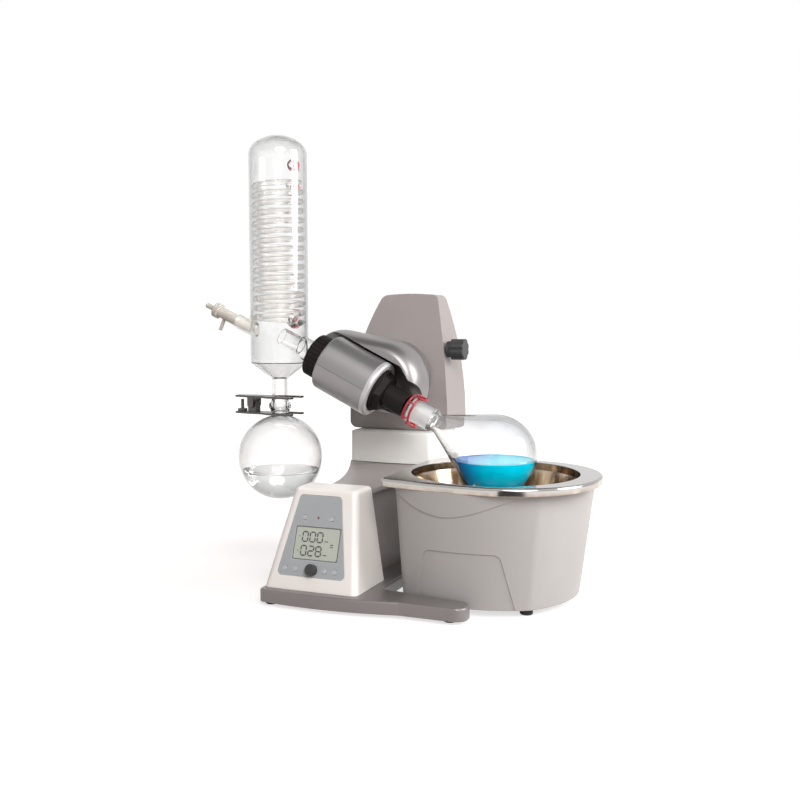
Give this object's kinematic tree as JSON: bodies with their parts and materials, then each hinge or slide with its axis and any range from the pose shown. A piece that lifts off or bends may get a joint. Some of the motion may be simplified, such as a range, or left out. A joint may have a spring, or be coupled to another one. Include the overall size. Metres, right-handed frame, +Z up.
{
  "type": "rotary evaporator",
  "caption": "Bench rotary evaporator with a motor-lift stand, tilting drive head, vertical coil condenser, glass flasks and a separate heating bath.",
  "frame": {"origin": "middle of the footprint on the bench", "axes": "+Z up, +X from the condenser towards the bath, -Y towards the user"},
  "size_m": [0.627, 0.4044, 0.675],
  "materials": {
    "stand_grey": "satin",
    "collar_pale": "satin",
    "box_white": "satin",
    "panel_grey": "satin",
    "screen_grey": "glossy",
    "board_green": "satin",
    "button_grey": "satin",
    "knob_dark": "matte",
    "plate_silver": "brushed",
    "foot_rubber": "matte",
    "steel_bright": "satin",
    "alloy_cast": "satin",
    "bronze_bush": "satin",
    "motor_black": "satin",
    "belt_rubber": "matte",
    "seal_white": "satin",
    "head_silver": "satin",
    "bezel_chrome": "polished",
    "ring_black": "satin",
    "lab_glass": "glossy",
    "clip_red": "glossy",
    "clamp_steel": "polished",
    "valve_tan": "satin",
    "bath_grey": "satin",
    "rim_steel": "polished"
  },
  "bodies": {
    "base": {"base_plate": "plate_silver", "base_feet": "foot_rubber", "control_housing": "box_white", "control_panel": "panel_grey", "display_screen": "screen_grey", "control_board": "board_green", "pedestal_body": "stand_grey", "pedestal_collar": "collar_pale", "mast": "steel_bright", "guide_rods": "steel_bright", "lift_motor": "motor_black", "power_inlet": "knob_dark"},
    "lift_carriage": {"carriage_block": "alloy_cast", "guide_bushes": "bronze_bush", "lift_nut": "bronze_bush", "tower_cover": "stand_grey", "tower_back_cover": "stand_grey"},
    "screw": {"lift_screw": "steel_bright"},
    "drive_head": {"head_arm": "head_silver", "tilt_shaft": "steel_bright", "head_upper_shell": "head_silver", "head_lower_shell": "head_silver", "head_bezel": "bezel_chrome", "bearing_frame": "alloy_cast", "hub_bearings": "steel_bright", "shaft_seal": "seal_white", "drive_motor": "motor_black", "drive_belt": "belt_rubber", "condenser_jacket": "lab_glass", "cooling_coil": "lab_glass", "hose_caps": "clip_red", "hose_nozzles": "seal_white", "receiving_flask": "lab_glass", "clamp_lower_jaw": "clamp_steel"},
    "rotor": {"drive_hub": "steel_bright", "hub_pulley": "alloy_cast", "vapour_tube": "lab_glass", "evaporating_flask": "lab_glass", "flask_clip": "clip_red"},
    "pinion": {"motor_pulley": "alloy_cast"},
    "union_ring": {"clamp_ring": "ring_black"},
    "nut": {"ejector_nut": "ring_black"},
    "sleeve": {"ejector_sleeve": "ring_black"},
    "tilt_lock": {"tilt_knob": "knob_dark"},
    "valve": {"feed_valve": "valve_tan"},
    "upper_jaw": {"clamp_upper_jaw": "clamp_steel"},
    "jaw_screw": {"clamp_screw": "clamp_steel"},
    "selector": {"selector_knob": "knob_dark"},
    "rocker": {"power_switch": "knob_dark"},
    "bath": {"bath_housing": "bath_grey", "bath_pot": "rim_steel", "heating_element": "steel_bright", "bath_base": "bath_grey", "bath_feet": "foot_rubber"},
    "mode_button_cap": {"mode_button": "button_grey"},
    "start_button_cap": {"start_button": "button_grey"},
    "lift_up_button_cap": {"lift_up_button": "button_grey"},
    "lift_down_button_cap": {"lift_down_button": "button_grey"},
    "timer_button_cap": {"timer_button": "button_grey"},
    "set_button_cap": {"set_button": "button_grey"}
  },
  "joints": [
    {"name": "head_lift", "type": "slide", "parent": "base", "child": "lift_carriage", "axis": [0, 0, 1], "range_m": [0, 0.15]},
    {"name": "screw_turn", "type": "hinge", "parent": "base", "child": "screw", "pos_m": [-0.0427, 0.16825, 0.404], "axis": [0, 0, 1], "range_deg": [-10800, 0]},
    {"name": "head_tilt", "type": "hinge", "parent": "lift_carriage", "child": "drive_head", "pos_m": [-0.0427, -0.03275, 0.306], "axis": [0, 1, 0], "range_deg": [-10, 10]},
    {"name": "tilt_lock_turn", "type": "hinge", "parent": "lift_carriage", "child": "tilt_lock", "pos_m": [0.0333, 0.13325, 0.349], "axis": [1, 0, 0], "range_deg": [0, 180]},
    {"name": "rotor_spin", "type": "hinge", "parent": "drive_head", "child": "rotor", "pos_m": [-0.0427, -0.03275, 0.306], "axis": [0.8988, 0, -0.4384], "continuous": true},
    {"name": "pinion_spin", "type": "hinge", "parent": "drive_head", "child": "pinion", "pos_m": [-0.0427, 0.04725, 0.306], "axis": [0.8988, 0, -0.4384], "continuous": true},
    {"name": "union_ring_turn", "type": "hinge", "parent": "drive_head", "child": "union_ring", "pos_m": [-0.0427, -0.03275, 0.306], "axis": [0.8988, 0, -0.4384], "range_deg": [-270, 0]},
    {"name": "ejector_turn", "type": "hinge", "parent": "rotor", "child": "nut", "pos_m": [-0.0427, -0.03275, 0.306], "axis": [0.8988, 0, -0.4384], "range_deg": [0, 360]},
    {"name": "ejector_push", "type": "slide", "parent": "rotor", "child": "sleeve", "axis": [0.8988, 0, -0.4384], "range_m": [0, 0.003]},
    {"name": "valve_turn", "type": "hinge", "parent": "drive_head", "child": "valve", "pos_m": [-0.2227, -0.03275, 0.38], "axis": [-0.9135, 0, 0.4067], "range_deg": [-90, 90]},
    {"name": "jaw_open", "type": "hinge", "parent": "drive_head", "child": "upper_jaw", "pos_m": [-0.2287, -0.03275, 0.26507], "axis": [0, -1, 0], "range_deg": [0, 6]},
    {"name": "jaw_screw_turn", "type": "hinge", "parent": "drive_head", "child": "jaw_screw", "pos_m": [-0.2497, -0.03275, 0.26507], "axis": [0, 0, 1], "range_deg": [0, 360]},
    {"name": "selector_turn", "type": "hinge", "parent": "base", "child": "selector", "pos_m": [-0.0567, -0.1749, 0.05081], "axis": [0, -0.9426, 0.3341], "continuous": true},
    {"name": "rocker_tip", "type": "hinge", "parent": "base", "child": "rocker", "pos_m": [-0.0647, 0.1875, 0.062], "axis": [1, 0, 0], "range_deg": [-8, 8]},
    {"name": "bath_slide", "type": "slide", "parent": "base", "child": "bath", "axis": [1, 0, 0], "range_m": [0, 0.025]},
    {"name": "mode_button_press", "type": "slide", "parent": "base", "child": "mode_button_cap", "axis": [0, 0.9426, -0.3341], "range_m": [0, 0.0008], "stiffness_N_per_m": 600, "springref_m": -0.0005},
    {"name": "start_button_press", "type": "slide", "parent": "base", "child": "start_button_cap", "axis": [0, 0.9426, -0.3341], "range_m": [0, 0.0008], "stiffness_N_per_m": 600, "springref_m": -0.0005},
    {"name": "lift_up_button_press", "type": "slide", "parent": "base", "child": "lift_up_button_cap", "axis": [0, 0.9426, -0.3341], "range_m": [0, 0.0008], "stiffness_N_per_m": 600, "springref_m": -0.0005},
    {"name": "lift_down_button_press", "type": "slide", "parent": "base", "child": "lift_down_button_cap", "axis": [0, 0.9426, -0.3341], "range_m": [0, 0.0008], "stiffness_N_per_m": 600, "springref_m": -0.0005},
    {"name": "timer_button_press", "type": "slide", "parent": "base", "child": "timer_button_cap", "axis": [0, 0.9426, -0.3341], "range_m": [0, 0.0008], "stiffness_N_per_m": 600, "springref_m": -0.0005},
    {"name": "set_button_press", "type": "slide", "parent": "base", "child": "set_button_cap", "axis": [0, 0.9426, -0.3341], "range_m": [0, 0.0008], "stiffness_N_per_m": 600, "springref_m": -0.0005}
  ],
  "couplings": [
    {"joint": "screw_turn", "follows": "head_lift", "rad_per_m": -1256.6},
    {"joint": "pinion_spin", "follows": "rotor_spin", "ratio": 2},
    {"joint": "ejector_turn", "follows": "ejector_push", "rad_per_m": 2094.4}
  ]
}
